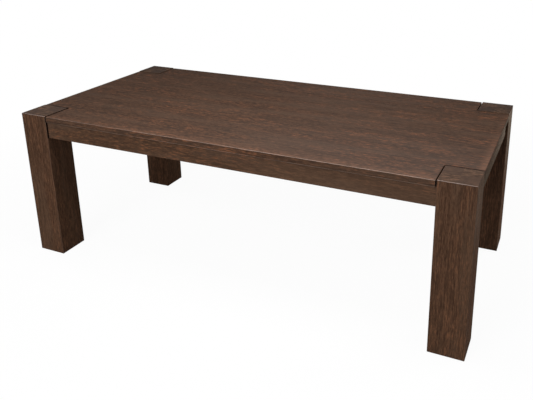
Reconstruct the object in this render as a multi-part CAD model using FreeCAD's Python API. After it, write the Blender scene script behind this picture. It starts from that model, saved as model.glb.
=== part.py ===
import FreeCAD, Part
import os

# Parsons dining table. Millimetres, X along the length, Y across the width, Z up.
# The front is towards -Y. The origin is on the floor, under the middle of the top.

# Overall
overall_length = 2235.0
overall_width = 1067.0
overall_height = 762.0        # floor to the tops of the legs
edge_radius = 2.0             # eased edges of the top and of the legs

# Legs: mitred boxes, closed by a cap, with a block inside at each end
leg_side = 152.0
leg_board_thickness = 22.0
leg_cap_thickness = 3.0
leg_rise = 2.0                # a leg stands this far above the surface of the top
top_block_height = 120.0
foot_block_height = 40.0

# Top: face layer, lipped core and backing layer
face_layer_thickness = 3.0
core_thickness = 22.0
backing_layer_thickness = 3.0
lipping_width = 12.0
notch_lipping_width = 6.0
notch_gap = 5.0               # shadow gap between the top and a leg

# Aprons and rails
apron_height = 85.0
apron_thickness = 22.0
apron_recess = 12.0           # from the outer face of a leg to the face of an apron
apron_edge_radius = 1.5
rail_thickness = 28.0
end_rail_height = 80.0        # cross rails and stub rails, which the legs bolt to
middle_rail_height = 60.0
middle_rail_offset = 320.0    # from the middle of the table to the middle of the rail
glue_block_side = 30.0

# Dowels
dowel_diameter = 8.0
dowel_apron_depth = 12.0
dowel_rail_depth = 20.0
dowel_cross_depth = 13.0      # into the face of a cross rail
dowel_clearance = 0.3         # across the diameter of the hole
dowel_end_clearance = 0.5     # at each end of the hole
upper_dowel_drop = 26.0       # from the underside of the top to the axis
lower_dowel_rise = 16.0       # from the lower edge of a rail to the axis

# Clips and screws that hold the top
clip_metal = 2.0
clip_width = 20.0
clip_lip_reach = 8.0
clip_flange_reach = 24.0
clip_drop = 12.0              # from the underside of the top to the upper wall of the groove
clip_stand_off = 1.0          # from the face of the rail to the riser of the clip
clip_corner_radius = 1.0
groove_height = 3.2
groove_depth = 9.0
clip_hole_diameter = 4.5
clip_screw_position = 14.0    # from the face of the rail to the axis of the screw
clips_per_bay = 2
clips_per_end = 3
screw_diameter = 4.0
screw_length = 19.0
screw_head_diameter = 8.0
screw_head_height = 2.4
screw_clearance = 0.3

# Leg bolts, washers and threaded inserts
bolt_diameter = 8.0
bolt_drop = 28.0              # from the underside of the top to the upper axis
bolt_spacing = 28.0
bolts_per_face = 2
bolt_hole_clearance = 1.0
bolt_head_diameter = 13.0
bolt_head_height = 8.0
bolt_socket_width = 6.0
bolt_socket_depth = 4.0
bolt_tip_reach = 3.0          # past the end of the insert
washer_diameter = 18.0
washer_thickness = 1.6
insert_diameter = 12.0
insert_length = 20.0
insert_clearance = 0.3
thread_clearance = 0.3

# Glides
glide_diameter = 50.0
glide_thickness = 5.0
glide_stand = 2.0             # how far the glide holds the leg off the floor
glide_edge_radius = 1.0
glide_clearance = 0.4
glide_screw_diameter = 4.5
glide_screw_length = 30.0
glide_screw_head_diameter = 9.0
glide_screw_head_height = 2.5
glide_screw_recess = 1.0      # from the floor face of the glide to the screw head

# Places that follow from the sizes above
half_length = overall_length / 2
half_width = overall_width / 2
top_surface = overall_height - leg_rise
core_top = top_surface - face_layer_thickness
core_bottom = core_top - core_thickness
underside = core_bottom - backing_layer_thickness
notch_heart_x = half_length - leg_side - notch_gap
notch_heart_y = half_width - leg_side - notch_gap
leg_foot = glide_stand
leg_board_top = overall_height - leg_cap_thickness
leg_middle = leg_side / 2
leg_inner_x = half_length - leg_side
leg_inner_y = half_width - leg_side
apron_inner_x = half_length - apron_recess - apron_thickness
apron_inner_y = half_width - apron_recess - apron_thickness
rail_inner_x = leg_inner_x - rail_thickness
rail_inner_y = leg_inner_y - rail_thickness
end_rail_bottom = underside - end_rail_height
middle_rail_bottom = underside - middle_rail_height
middle_rail_outer = middle_rail_offset + rail_thickness / 2
middle_rail_inner = middle_rail_offset - rail_thickness / 2
bolt_heights = [underside - bolt_drop - index * bolt_spacing for index in range(bolts_per_face)]
insert_reach = rail_thickness + leg_board_thickness    # from a rail's inner face to an insert
glide_screw_seat = glide_screw_recess + glide_screw_head_height

x_axis = FreeCAD.Vector(1, 0, 0)
y_axis = FreeCAD.Vector(0, 1, 0)
z_axis = FreeCAD.Vector(0, 0, 1)
origin = FreeCAD.Vector(0, 0, 0)
tolerance = 1e-6              # two places nearer than this are the same
corners = {
    "front_left": (-1, -1),
    "front_right": (1, -1),
    "rear_left": (-1, 1),
    "rear_right": (1, 1),
}


def block(low, high):
    """A box between two opposite corners, given in any order."""
    lowest = FreeCAD.Vector(*[min(a, b) for a, b in zip(low, high)])
    size = [abs(b - a) for a, b in zip(low, high)]
    return Part.makeBox(*size, lowest)


def rod(start, direction, length, diameter):
    return Part.makeCylinder(diameter / 2, length, FreeCAD.Vector(*start), direction)


def prism(points, bottom, top):
    """A straight prism over a closed polygon of (x, y) points."""
    corner_points = [FreeCAD.Vector(x, y, bottom) for x, y in points]
    face = Part.Face(Part.makePolygon(corner_points + corner_points[:1]))
    return face.extrude(z_axis * (top - bottom))


def to_corner(shape, side_x, side_y):
    """Carry a piece drawn at the front left corner over to another corner."""
    placed = shape.copy()
    if side_x > 0:
        placed = placed.mirror(origin, x_axis)
    if side_y > 0:
        placed = placed.mirror(origin, y_axis)
    return placed


def at_each_corner(shape):
    return [to_corner(shape, *sides) for sides in corners.values()]


def spaced(start, end, count):
    """Evenly spaced places, with half a space at each end."""
    step = (end - start) / count
    return [start + (index + 0.5) * step for index in range(count)]


def edges_along(shape, direction, test):
    """Straight edges parallel to a direction whose middle point passes a test."""
    chosen = []
    for edge in shape.Edges:
        along = edge.Vertexes[-1].Point - edge.Vertexes[0].Point
        if along.cross(direction).Length < tolerance and test(edge.CenterOfMass):
            chosen.append(edge)
    return chosen


# ---- Top ----

def top_outline():
    """The plan of the top: a rectangle with a square notch at each corner."""
    quarter = [
        (half_length, notch_heart_y),
        (notch_heart_x, notch_heart_y),
        (notch_heart_x, half_width),
    ]
    points = list(quarter)
    points += [(-x, y) for x, y in reversed(quarter)]
    points += [(-x, -y) for x, y in quarter]
    points += [(x, -y) for x, y in reversed(quarter)]
    return points


def eased_edges(slab):
    """All edges of the top but the four upright ones in the hearts of the notches."""
    def in_heart(point):
        return (abs(abs(point.x) - notch_heart_x) < tolerance
                and abs(abs(point.y) - notch_heart_y) < tolerance)

    return [edge for edge in slab.Edges if not in_heart(edge.CenterOfMass)]


def make_top():
    slab = prism(top_outline(), underside, top_surface)
    slab = slab.makeFillet(edge_radius, eased_edges(slab))

    def layer(bottom, top):
        return slab.common(block((-half_length, -half_width, bottom), (half_length, half_width, top)))

    def strip(low, high):
        return slab.common(block((*low, core_bottom), (*high, core_top)))

    long_inner = -half_width + lipping_width
    short_inner = -half_length + lipping_width
    long_strip = strip((-notch_heart_x, -half_width), (notch_heart_x, long_inner))
    short_strip = strip((-half_length, -notch_heart_y), (short_inner, notch_heart_y))
    front_notch = strip((-notch_heart_x, long_inner),
                        (-notch_heart_x + notch_lipping_width, -notch_heart_y))
    side_notch = strip((short_inner, -notch_heart_y),
                       (-notch_heart_x + notch_lipping_width, -notch_heart_y + notch_lipping_width))
    pieces = {
        "top_face_layer": layer(core_top, top_surface),
        "top_backing_layer": layer(underside, core_bottom),
        "top_lipping_front": long_strip,
        "top_lipping_rear": long_strip.mirror(origin, y_axis),
        "top_lipping_left": short_strip,
        "top_lipping_right": short_strip.mirror(origin, x_axis),
    }
    notch_strips = at_each_corner(front_notch) + at_each_corner(side_notch)
    strips = [pieces[name] for name in pieces if "lipping" in name] + notch_strips
    pieces["top_core"] = layer(core_bottom, core_top).cut(strips)
    pieces["notch_lippings"] = Part.makeCompound(notch_strips)
    return pieces


# ---- Aprons and rails ----

def dowel_heights(rail_bottom):
    return [underside - upper_dowel_drop, rail_bottom + lower_dowel_rise]


def dowel_rods(start, direction, length, rail_bottom):
    """Dowels, and the slightly larger rods that cut their holes, at both heights of a rail."""
    rods = []
    holes = []
    for height in dowel_heights(rail_bottom):
        first = FreeCAD.Vector(*start, height)
        rods.append(rod(first, direction, length, dowel_diameter))
        hole_start = first - direction * dowel_end_clearance
        hole_length = length + 2 * dowel_end_clearance
        holes.append(rod(hole_start, direction, hole_length, dowel_diameter + dowel_clearance))
    return rods, holes


def apron_board(low, high, direction):
    """An apron with its two long lower edges eased."""
    board = block((*low, underside - apron_height), (*high, underside))
    bottom = underside - apron_height + tolerance
    lower_edges = edges_along(board, direction, lambda point: point.z < bottom)
    return board.makeFillet(apron_edge_radius, lower_edges)


def groove(low, high):
    top = underside - clip_drop
    return block((*low, top - groove_height), (*high, top))


def make_aprons():
    long_apron = apron_board((-leg_inner_x, -half_width + apron_recess),
                             (leg_inner_x, -apron_inner_y), x_axis)
    long_apron = long_apron.cut(groove((-rail_inner_x, -apron_inner_y - groove_depth),
                                       (rail_inner_x, -apron_inner_y)))
    short_apron = apron_board((-half_length + apron_recess, -leg_inner_y),
                              (-apron_inner_x, leg_inner_y), y_axis)
    short_apron = short_apron.cut(groove((-apron_inner_x - groove_depth, -rail_inner_y),
                                         (-apron_inner_x, rail_inner_y)))
    return {
        "front_apron": long_apron,
        "rear_apron": long_apron.mirror(origin, y_axis),
        "left_apron": short_apron,
        "right_apron": short_apron.mirror(origin, x_axis),
    }


def make_rails():
    cross_rail = block((-leg_inner_x, -apron_inner_y, end_rail_bottom),
                       (-rail_inner_x, apron_inner_y, underside))
    cross_rail = cross_rail.cut(groove((-rail_inner_x - groove_depth, -apron_inner_y),
                                       (-rail_inner_x, apron_inner_y)))
    middle_rail = block((-middle_rail_outer, -apron_inner_y, middle_rail_bottom),
                        (-middle_rail_inner, apron_inner_y, underside))
    middle_rail = middle_rail.cut(groove((-middle_rail_inner - groove_depth, -apron_inner_y),
                                         (-middle_rail_inner, apron_inner_y)))
    stub_rail = block((-apron_inner_x, -leg_inner_y, end_rail_bottom),
                      (-leg_inner_x, -rail_inner_y, underside))
    pieces = {
        "left_cross_rail": cross_rail,
        "right_cross_rail": cross_rail.mirror(origin, x_axis),
        "left_middle_rail": middle_rail,
        "right_middle_rail": middle_rail.mirror(origin, x_axis),
    }
    for corner, sides in corners.items():
        pieces[corner + "_stub_rail"] = to_corner(stub_rail, *sides)
    return pieces


def make_dowels():
    """The dowels of all rail joints, and the rods that cut their holes."""
    apron_to_rail = dowel_apron_depth + dowel_rail_depth
    rail_to_rail = dowel_rail_depth + dowel_cross_depth
    cross_x = -leg_inner_x + rail_thickness / 2
    stub_y = -leg_inner_y + rail_thickness / 2
    long_start = -apron_inner_y - dowel_apron_depth
    short_start = -apron_inner_x - dowel_apron_depth
    sets = [
        ((cross_x, long_start), y_axis, apron_to_rail, end_rail_bottom),
        ((-middle_rail_offset, long_start), y_axis, apron_to_rail, middle_rail_bottom),
        ((short_start, stub_y), x_axis, apron_to_rail, end_rail_bottom),
        ((-leg_inner_x - dowel_rail_depth, stub_y), x_axis, rail_to_rail, end_rail_bottom),
    ]
    dowels = []
    dowel_holes = []
    for start, direction, length, rail_bottom in sets:
        rods, holes = dowel_rods(start, direction, length, rail_bottom)
        for piece in rods:
            dowels += at_each_corner(piece)
        for hole in holes:
            dowel_holes += at_each_corner(hole)
    return dowels, dowel_holes


def make_glue_blocks():
    """Three-sided blocks in the corners between the rails and the long aprons."""
    blocks = []
    for rail_face, side in [(-rail_inner_x, 1), (-middle_rail_outer, -1), (-middle_rail_inner, 1)]:
        plan = [
            (rail_face, -apron_inner_y),
            (rail_face + side * glue_block_side, -apron_inner_y),
            (rail_face, -apron_inner_y + glue_block_side),
        ]
        blocks += at_each_corner(prism(plan, middle_rail_bottom, underside))
    return blocks


def make_frame():
    dowels, holes = make_dowels()
    for hole in leg_bolt_rods(bolt_diameter + bolt_hole_clearance, rail_thickness):
        holes += at_each_corner(hole)
    pieces = {name: board.cut(holes) for name, board in (make_aprons() | make_rails()).items()}
    pieces["rail_dowels"] = Part.makeCompound(dowels)
    pieces["glue_blocks"] = Part.makeCompound(make_glue_blocks())
    return pieces


# ---- Clips that hold the top ----

def clip_shape():
    """A clip on a rail whose face is the plane x = 0; the rail lies towards -x."""
    lip = block((-clip_lip_reach, -clip_width / 2, -clip_drop - clip_metal),
                (clip_stand_off + clip_metal, clip_width / 2, -clip_drop))
    riser = block((clip_stand_off, -clip_width / 2, -clip_drop - clip_metal),
                  (clip_stand_off + clip_metal, clip_width / 2, 0))
    flange = block((clip_stand_off, -clip_width / 2, -clip_metal),
                   (clip_flange_reach, clip_width / 2, 0))
    clip = lip.fuse([riser, flange]).removeSplitter()
    tips = edges_along(clip, z_axis, lambda point: point.x > clip_flange_reach - tolerance)
    clip = clip.makeFillet(clip_corner_radius, tips)
    hole = rod((clip_screw_position, 0, -clip_metal), z_axis, clip_metal, clip_hole_diameter)
    return clip.cut(hole)


def clip_screw_shape():
    start = -clip_metal - screw_head_height
    head = rod((clip_screw_position, 0, start), z_axis, screw_head_height, screw_head_diameter)
    shank = rod((clip_screw_position, 0, -clip_metal), z_axis, screw_length, screw_diameter)
    return head.fuse(shank)


def clip_screw_hole():
    length = screw_length - clip_metal + screw_clearance
    return rod((clip_screw_position, 0, 0), z_axis, length, screw_diameter + screw_clearance)


def clip_seats():
    """Where the clips sit: a point on a rail's face, and the way that the face looks in degrees."""
    bays = [
        (-rail_inner_x, -middle_rail_outer),
        (-middle_rail_inner, middle_rail_inner),
        (middle_rail_outer, rail_inner_x),
    ]
    seats = []
    for start, end in bays:
        for x in spaced(start, end, clips_per_bay):
            seats += [(x, -apron_inner_y, 90), (x, apron_inner_y, 270)]
    for y in spaced(-rail_inner_y, rail_inner_y, clips_per_end):
        seats += [(-apron_inner_x, y, 0), (apron_inner_x, y, 180)]
    for y in spaced(-apron_inner_y, apron_inner_y, clips_per_end):
        seats += [(-rail_inner_x, y, 0), (rail_inner_x, y, 180)]
        seats += [(-middle_rail_inner, y, 0), (middle_rail_inner, y, 180)]
    return seats


def at_seats(shape):
    placed = []
    for x, y, angle in clip_seats():
        copy = shape.copy()
        copy.rotate(origin, z_axis, angle)
        copy.translate(FreeCAD.Vector(x, y, underside))
        placed.append(copy)
    return placed


# ---- Legs ----

def leg_bolt_rods(diameter, length, start=0.0):
    """Rods on the axes of one leg's bolts, from the rails' inner faces towards the leg.

    start moves them along the axis, past the face of the rail.
    """
    rods = []
    for height in bolt_heights:
        along_x = (-rail_inner_x - start, -half_width + leg_middle, height)
        along_y = (-half_length + leg_middle, -rail_inner_y - start, height)
        rods.append(rod(along_x, -x_axis, length, diameter))
        rods.append(rod(along_y, -y_axis, length, diameter))
    return rods


def hexagon_rod(start, direction, length, width):
    """A six-sided rod, width across its flats, along a level direction."""
    radius = width / 3 ** 0.5
    side = z_axis.cross(direction)
    points = []
    for turn in range(7):
        turned = FreeCAD.Rotation(direction, 60.0 * turn).multVec(side * radius)
        points.append(FreeCAD.Vector(*start) + turned)
    return Part.Face(Part.makePolygon(points)).extrude(direction * length)


def leg_bolt(start, direction):
    """A socket bolt whose head bears on the point start, with its shank along direction."""
    seat = FreeCAD.Vector(*start)
    back = seat - direction * bolt_head_height
    length = washer_thickness + insert_reach + insert_length + bolt_tip_reach
    head = rod(back, direction, bolt_head_height, bolt_head_diameter)
    shank = rod(seat, direction, length, bolt_diameter)
    socket = hexagon_rod(back, direction, bolt_socket_depth, bolt_socket_width)
    return head.fuse(shank).cut(socket)


def make_leg_fixings():
    bolts = []
    washers = []
    inserts = []
    for height in bolt_heights:
        seats = [
            (FreeCAD.Vector(-rail_inner_x, -half_width + leg_middle, height), -x_axis),
            (FreeCAD.Vector(-half_length + leg_middle, -rail_inner_y, height), -y_axis),
        ]
        for face, direction in seats:
            washer_start = face - direction * washer_thickness
            washer = rod(washer_start, direction, washer_thickness, washer_diameter)
            washer_hole = bolt_diameter + thread_clearance
            washer = washer.cut(rod(washer_start, direction, washer_thickness, washer_hole))
            insert_start = face + direction * insert_reach
            insert = rod(insert_start, direction, insert_length, insert_diameter)
            insert_hole = bolt_diameter + thread_clearance
            insert = insert.cut(rod(insert_start, direction, insert_length, insert_hole))
            bolts += at_each_corner(leg_bolt(washer_start, direction))
            washers += at_each_corner(washer)
            inserts += at_each_corner(insert)
    return {
        "leg_bolts": Part.makeCompound(bolts),
        "leg_bolt_washers": Part.makeCompound(washers),
        "leg_inserts": Part.makeCompound(inserts),
    }


def make_leg():
    """The pieces of the front left leg; side boards are named by the way they face."""
    low_x = -half_length
    low_y = -half_width
    high_x = low_x + leg_side
    high_y = low_y + leg_side
    outline = block((low_x, low_y, leg_foot), (high_x, high_y, overall_height))
    outline = outline.makeFillet(edge_radius, outline.Edges)
    in_low_x = low_x + leg_board_thickness
    in_low_y = low_y + leg_board_thickness
    in_high_x = high_x - leg_board_thickness
    in_high_y = high_y - leg_board_thickness
    plans = {
        "outer_y": [(low_x, low_y), (high_x, low_y), (in_high_x, in_low_y), (in_low_x, in_low_y)],
        "inner_y": [(low_x, high_y), (high_x, high_y), (in_high_x, in_high_y), (in_low_x, in_high_y)],
        "outer_x": [(low_x, low_y), (low_x, high_y), (in_low_x, in_high_y), (in_low_x, in_low_y)],
        "inner_x": [(high_x, low_y), (high_x, high_y), (in_high_x, in_high_y), (in_high_x, in_low_y)],
    }
    board_holes = leg_bolt_rods(bolt_diameter + bolt_hole_clearance, leg_board_thickness, rail_thickness)
    insert_holes = leg_bolt_rods(insert_diameter + insert_clearance, insert_length, insert_reach)
    tip_length = insert_length + bolt_tip_reach + thread_clearance
    insert_holes += leg_bolt_rods(bolt_diameter + thread_clearance, tip_length, insert_reach)
    boards = {}
    for side, plan in plans.items():
        board = outline.common(prism(plan, leg_foot, leg_board_top))
        boards[side] = board.cut(board_holes)
    cap = outline.common(block((low_x, low_y, leg_board_top), (high_x, high_y, overall_height)))
    top_block = block((in_low_x, in_low_y, leg_board_top - top_block_height),
                      (in_high_x, in_high_y, leg_board_top))
    foot_block = block((in_low_x, in_low_y, leg_foot),
                       (in_high_x, in_high_y, leg_foot + foot_block_height))
    middle = (low_x + leg_middle, low_y + leg_middle)
    glide_seat = rod((*middle, leg_foot), z_axis, glide_thickness - glide_stand,
                     glide_diameter + glide_clearance)
    screw_hole_depth = glide_screw_seat + glide_screw_length + thread_clearance - leg_foot
    screw_hole = rod((*middle, leg_foot), z_axis, screw_hole_depth,
                     glide_screw_diameter + screw_clearance)
    return {
        "boards": boards,
        "cap": cap,
        "top_block": top_block.cut(insert_holes),
        "foot_block": foot_block.cut([glide_seat, screw_hole]),
    }


def make_glide():
    """The glide and its screw under the front left leg."""
    middle = (-half_length + leg_middle, -half_width + leg_middle)
    glide = rod((*middle, 0), z_axis, glide_thickness, glide_diameter)
    rim = [edge for edge in glide.Edges if edge.Closed and edge.CenterOfMass.z < tolerance]
    glide = glide.makeFillet(glide_edge_radius, rim)
    recess = rod((*middle, 0), z_axis, glide_screw_seat, glide_screw_head_diameter + screw_clearance)
    bore = rod((*middle, 0), z_axis, glide_thickness, glide_screw_diameter + screw_clearance)
    head = rod((*middle, glide_screw_recess), z_axis, glide_screw_head_height, glide_screw_head_diameter)
    shank = rod((*middle, glide_screw_seat), z_axis, glide_screw_length, glide_screw_diameter)
    return glide.cut([recess, bore]), head.fuse(shank)


def make_legs():
    leg = make_leg()
    glide, glide_screw = make_glide()
    facing = {"x": {-1: "left", 1: "right"}, "y": {-1: "front", 1: "rear"}}
    pieces = {}
    for corner, (side_x, side_y) in corners.items():
        sides = {"x": side_x, "y": side_y}
        for place, board in leg["boards"].items():
            depth, axis = place.split("_")
            way = sides[axis] if depth == "outer" else -sides[axis]
            name = corner + "_leg_" + facing[axis][way] + "_board"
            pieces[name] = to_corner(board, side_x, side_y)
        for part_name in ("cap", "top_block", "foot_block"):
            pieces[corner + "_leg_" + part_name] = to_corner(leg[part_name], side_x, side_y)
        pieces[corner + "_glide"] = to_corner(glide, side_x, side_y)
    pieces["glide_screws"] = Part.makeCompound(at_each_corner(glide_screw))
    return pieces


# ---- The whole table ----

parts = make_top()
for name in ("top_core", "top_backing_layer"):
    parts[name] = parts[name].cut(at_seats(clip_screw_hole()))
parts.update(make_frame())
parts["top_clips"] = Part.makeCompound(at_seats(clip_shape()))
parts["top_clip_screws"] = Part.makeCompound(at_seats(clip_screw_shape()))
parts.update(make_legs())
parts.update(make_leg_fixings())

os.makedirs("parts", exist_ok=True)
for name, shape in parts.items():
    shape.exportStep("parts/" + name + ".step")
    print(f"{name}: {len(shape.Solids)} solid(s), valid {shape.isValid()}")
print(f"{len(parts)} nodes")
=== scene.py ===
import math

import bmesh
import bpy
from mathutils import Matrix, Vector


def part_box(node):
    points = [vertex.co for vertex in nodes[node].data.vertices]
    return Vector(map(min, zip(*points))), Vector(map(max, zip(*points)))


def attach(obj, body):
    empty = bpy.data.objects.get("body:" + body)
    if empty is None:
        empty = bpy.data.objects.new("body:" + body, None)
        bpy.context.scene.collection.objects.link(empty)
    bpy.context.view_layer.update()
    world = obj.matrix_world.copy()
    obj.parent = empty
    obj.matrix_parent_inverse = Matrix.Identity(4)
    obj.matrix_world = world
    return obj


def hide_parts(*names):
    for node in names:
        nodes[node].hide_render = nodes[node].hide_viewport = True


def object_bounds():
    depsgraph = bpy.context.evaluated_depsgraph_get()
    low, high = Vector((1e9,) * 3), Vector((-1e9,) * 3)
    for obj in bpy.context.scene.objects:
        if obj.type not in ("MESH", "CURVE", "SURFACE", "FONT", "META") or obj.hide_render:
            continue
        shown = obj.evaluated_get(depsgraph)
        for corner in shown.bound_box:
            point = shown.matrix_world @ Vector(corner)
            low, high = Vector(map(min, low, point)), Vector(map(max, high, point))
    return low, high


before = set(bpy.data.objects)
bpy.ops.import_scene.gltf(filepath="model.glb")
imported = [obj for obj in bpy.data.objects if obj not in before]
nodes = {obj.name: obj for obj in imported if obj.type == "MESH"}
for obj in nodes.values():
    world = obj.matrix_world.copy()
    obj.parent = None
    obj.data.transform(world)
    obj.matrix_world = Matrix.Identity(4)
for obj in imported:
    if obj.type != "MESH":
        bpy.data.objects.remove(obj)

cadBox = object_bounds()
halfLength = cadBox[1].x
halfWidth = cadBox[1].y
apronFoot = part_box("front_apron")[0].z
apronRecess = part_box("front_apron")[0].y + halfWidth   # from a leg's face back to a long apron's
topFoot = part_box("top_backing_layer")[0].z
gap = {                      # the shadow gap between the top and a leg, as places on the positive side
    "x": (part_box("top_lipping_front")[1].x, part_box("front_right_leg_left_board")[0].x),
    "y": (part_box("top_lipping_right")[1].y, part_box("rear_right_leg_front_board")[0].y),
    "z": (topFoot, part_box("top_face_layer")[1].z),
}
capLow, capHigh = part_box("front_right_leg_cap")
capMiddle = Vector((capLow.x + capHigh.x, -capLow.y - capHigh.y)) / 2
print("frame loaded:", len(nodes), "nodes")


# Node trees: a wire is one output socket, and sums of wires add their Math nodes

class Wire:
    def __init__(self, tree, socket):
        self.tree = tree
        self.socket = socket

    def maths(self, operation, other=0.0):  # such as ABSOLUTE, or MAXIMUM of this and the other
        return self.tree.maths(operation, self, other)

    def __neg__(self):
        return self.tree.maths("MULTIPLY", self, -1.0)

    def __add__(self, other):
        return self.tree.maths("ADD", self, other)

    def __radd__(self, other):
        return self.tree.maths("ADD", other, self)

    def __sub__(self, other):
        return self.tree.maths("SUBTRACT", self, other)

    def __rsub__(self, other):
        return self.tree.maths("SUBTRACT", other, self)

    def __mul__(self, other):
        return self.tree.maths("MULTIPLY", self, other)

    def __rmul__(self, other):
        return self.tree.maths("MULTIPLY", other, self)

    def __truediv__(self, other):
        return self.tree.maths("DIVIDE", self, other)

    def __rtruediv__(self, other):
        return self.tree.maths("DIVIDE", other, self)

    def ease(self, low, high, lowValue=0.0, highValue=1.0):  # smooth step from low to high
        values = {"Value": self, "From Min": low, "From Max": high, "To Min": lowValue, "To Max": highValue}
        return self.tree.add("ShaderNodeMapRange", {"interpolation_type": "SMOOTHSTEP"}, values)


class NodeTree:
    def __init__(self, tree):
        self.tree = tree
        tree.nodes.clear()

    def add(self, kind, settings=None, values=None, output=None):
        node = self.tree.nodes.new(kind)
        for key, value in (settings or {}).items():
            setattr(node, key, value)
        for key, value in (values or {}).items():
            socket = node.inputs[key] if isinstance(key, int) else openSocket(node.inputs, key)
            wires = value if isinstance(value, list) else [value]
            if isinstance(wires[0], Wire):
                for wire in wires:
                    self.tree.links.new(wire.socket, socket)
            else:
                socket.default_value = value
        return Wire(self, openSocket(node.outputs, output)) if node.outputs else None

    def maths(self, operation, first, second):
        return self.add("ShaderNodeMath", {"operation": operation}, {0: first, 1: second})

    def mix(self, factor, first, second):
        settings = {"data_type": "RGBA", "clamp_factor": True}
        return self.add("ShaderNodeMix", settings, {"Factor": factor, "A": first, "B": second})

    def vector(self, operation, first, second):
        return self.add("ShaderNodeVectorMath", {"operation": operation}, {0: first, 1: second})

    def parts(self, vector):
        split = self.tree.nodes.new("ShaderNodeSeparateXYZ")
        self.tree.links.new(vector.socket, split.inputs[0])
        return [Wire(self, socket) for socket in split.outputs]


def within(wire, low, high, blur):  # 1 between two places, and 0 beyond them
    return wire.ease(low - blur, low) * wire.ease(high, high + blur, 1.0, 0.0)


def openSocket(sockets, name):
    return next(socket for socket in sockets if socket.enabled and name in (None, socket.name))


def newMaterial(name):
    material = bpy.data.materials.new(name)
    material.use_nodes = True
    return material, NodeTree(material.node_tree)


def colour(red, green, blue):  # screen values, 0 to 255, to the linear colour that Blender takes
    def linear(level):
        share = level / 255
        return share / 12.92 if share <= 0.04045 else ((share + 0.055) / 1.055) ** 2.4

    return (linear(red), linear(green), linear(blue), 1.0)


# Camera

camera = {
    "place": (1.3926, -2.6628, 1.7189),
    "yaw": 23.73,           # degrees to the left of straight back
    "pitch": 17.40,         # degrees below level
    "roll": -0.34,
    "lens": 42.13,          # millimetres, as the sensor's width
    "sensor": 36.0,
    "shift": (-0.0826, -0.1773),
}


def makeCamera():
    data = bpy.data.cameras.new("camera")
    data.sensor_width = camera["sensor"]
    data.lens = camera["lens"]
    data.shift_x, data.shift_y = camera["shift"]
    item = bpy.data.objects.new("camera", data)
    yaw, pitch, roll = (math.radians(camera[key]) for key in ("yaw", "pitch", "roll"))
    turn = Matrix.Rotation(yaw, 4, "Z") @ Matrix.Rotation(math.pi / 2 - pitch, 4, "X")
    item.matrix_world = Matrix.Translation(camera["place"]) @ turn @ Matrix.Rotation(roll, 4, "Z")
    bpy.context.scene.collection.objects.link(item)
    bpy.context.scene.camera = item


makeCamera()
print("camera placed")


# Studio: pale floor, soft sky and soft boxes

plainWhite = (1.0, 1.0, 1.0, 1.0)

studio = {
    "floorSize": 120.0,
    "floorColour": colour(206, 206, 206),
    "floorWhite": colour(250, 250, 250),   # the floor's paint where whiteShare is 1
    "floorGlow": (0.955, 1.0),             # share of plain white that is seen in the floor, near and far
    "glowReach": (1.6, 3.4),               # metres from the middle of the table
    "skyStrength": 0.07,
}

softBoxes = {                # metres, and watts
    "overhead": {
        "place": (0.32, -0.62, 2.15), "aim": (0.32, -0.45, 0.76), "size": (2.3, 0.7), "power": 29.0,
    },
    "frontHigh": {
        "place": (-0.6, -4.2, 3.4), "aim": (0.0, -0.5, 0.4), "size": (2.4, 1.4), "power": 101.0,
    },
    "frontFar": {
        "place": (-1.0, -6.0, 2.3), "aim": (0.0, -0.3, 0.5), "size": (3.0, 2.0), "power": 77.0,
    },
    "frontLow": {
        "place": (0.3, -4.2, 1.0), "aim": (0.0, -0.3, 0.5), "size": (1.6, 1.6), "power": 13.0,
    },
    "rearLow": {
        "place": (-1.2, 5.5, 0.7), "aim": (0.0, 0.0, 0.45), "size": (2.8, 1.2), "power": 90.0,
    },
    "leftLow": {
        "place": (-4.6, 0.8, 0.9), "aim": (0.0, 0.0, 0.4), "size": (1.6, 1.6), "power": 62.0,
    },
    "rightLow": {
        "place": (3.4, 1.6, 1.35), "aim": (1.1, 0.0, 0.5), "size": (1.6, 1.6), "power": 41.0,
    },
}


def whiteShare(tree):  # 1 where a ray should meet plain white: seen directly, mirrored or through glass
    kinds = ("Is Camera Ray", "Is Glossy Ray", "Is Transmission Ray")
    rays = [tree.add("ShaderNodeLightPath", output=kind) for kind in kinds]
    return (rays[0] + rays[1] + rays[2]).maths("MINIMUM", 1.0)


def makeFloor():
    half = studio["floorSize"] / 2
    mesh = bpy.data.meshes.new("floor")
    corners = [(-half, -half, 0), (half, -half, 0), (half, half, 0), (-half, half, 0)]
    mesh.from_pydata(corners, [], [(0, 1, 2, 3)])
    floor = bpy.data.objects.new("floor", mesh)
    bpy.context.scene.collection.objects.link(floor)
    material, tree = newMaterial("paleFloor")
    share = whiteShare(tree)
    place = tree.add("ShaderNodeTexCoord", output="Object")
    distance = tree.add("ShaderNodeVectorMath", {"operation": "LENGTH"}, {0: place}, output="Value")
    glow = distance.ease(*studio["glowReach"], *studio["floorGlow"])
    paint = tree.mix(share, studio["floorColour"], studio["floorWhite"])
    matt = tree.add("ShaderNodeBsdfDiffuse", {}, {"Color": paint})
    white = tree.add("ShaderNodeEmission", {}, {"Color": plainWhite, "Strength": 1.0})
    surface = tree.add("ShaderNodeMixShader", {}, {0: share * glow, 1: matt, 2: white})
    tree.add("ShaderNodeOutputMaterial", {}, {"Surface": surface})
    mesh.materials.append(material)


def makeSky():
    world = bpy.data.worlds.new("sky")
    bpy.context.scene.world = world
    world.use_nodes = True
    tree = NodeTree(world.node_tree)
    share = whiteShare(tree)
    values = {"Color": plainWhite, "Strength": share + (1 - share) * studio["skyStrength"]}
    light = tree.add("ShaderNodeBackground", {}, values)
    tree.add("ShaderNodeOutputWorld", {}, {"Surface": light})


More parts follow.
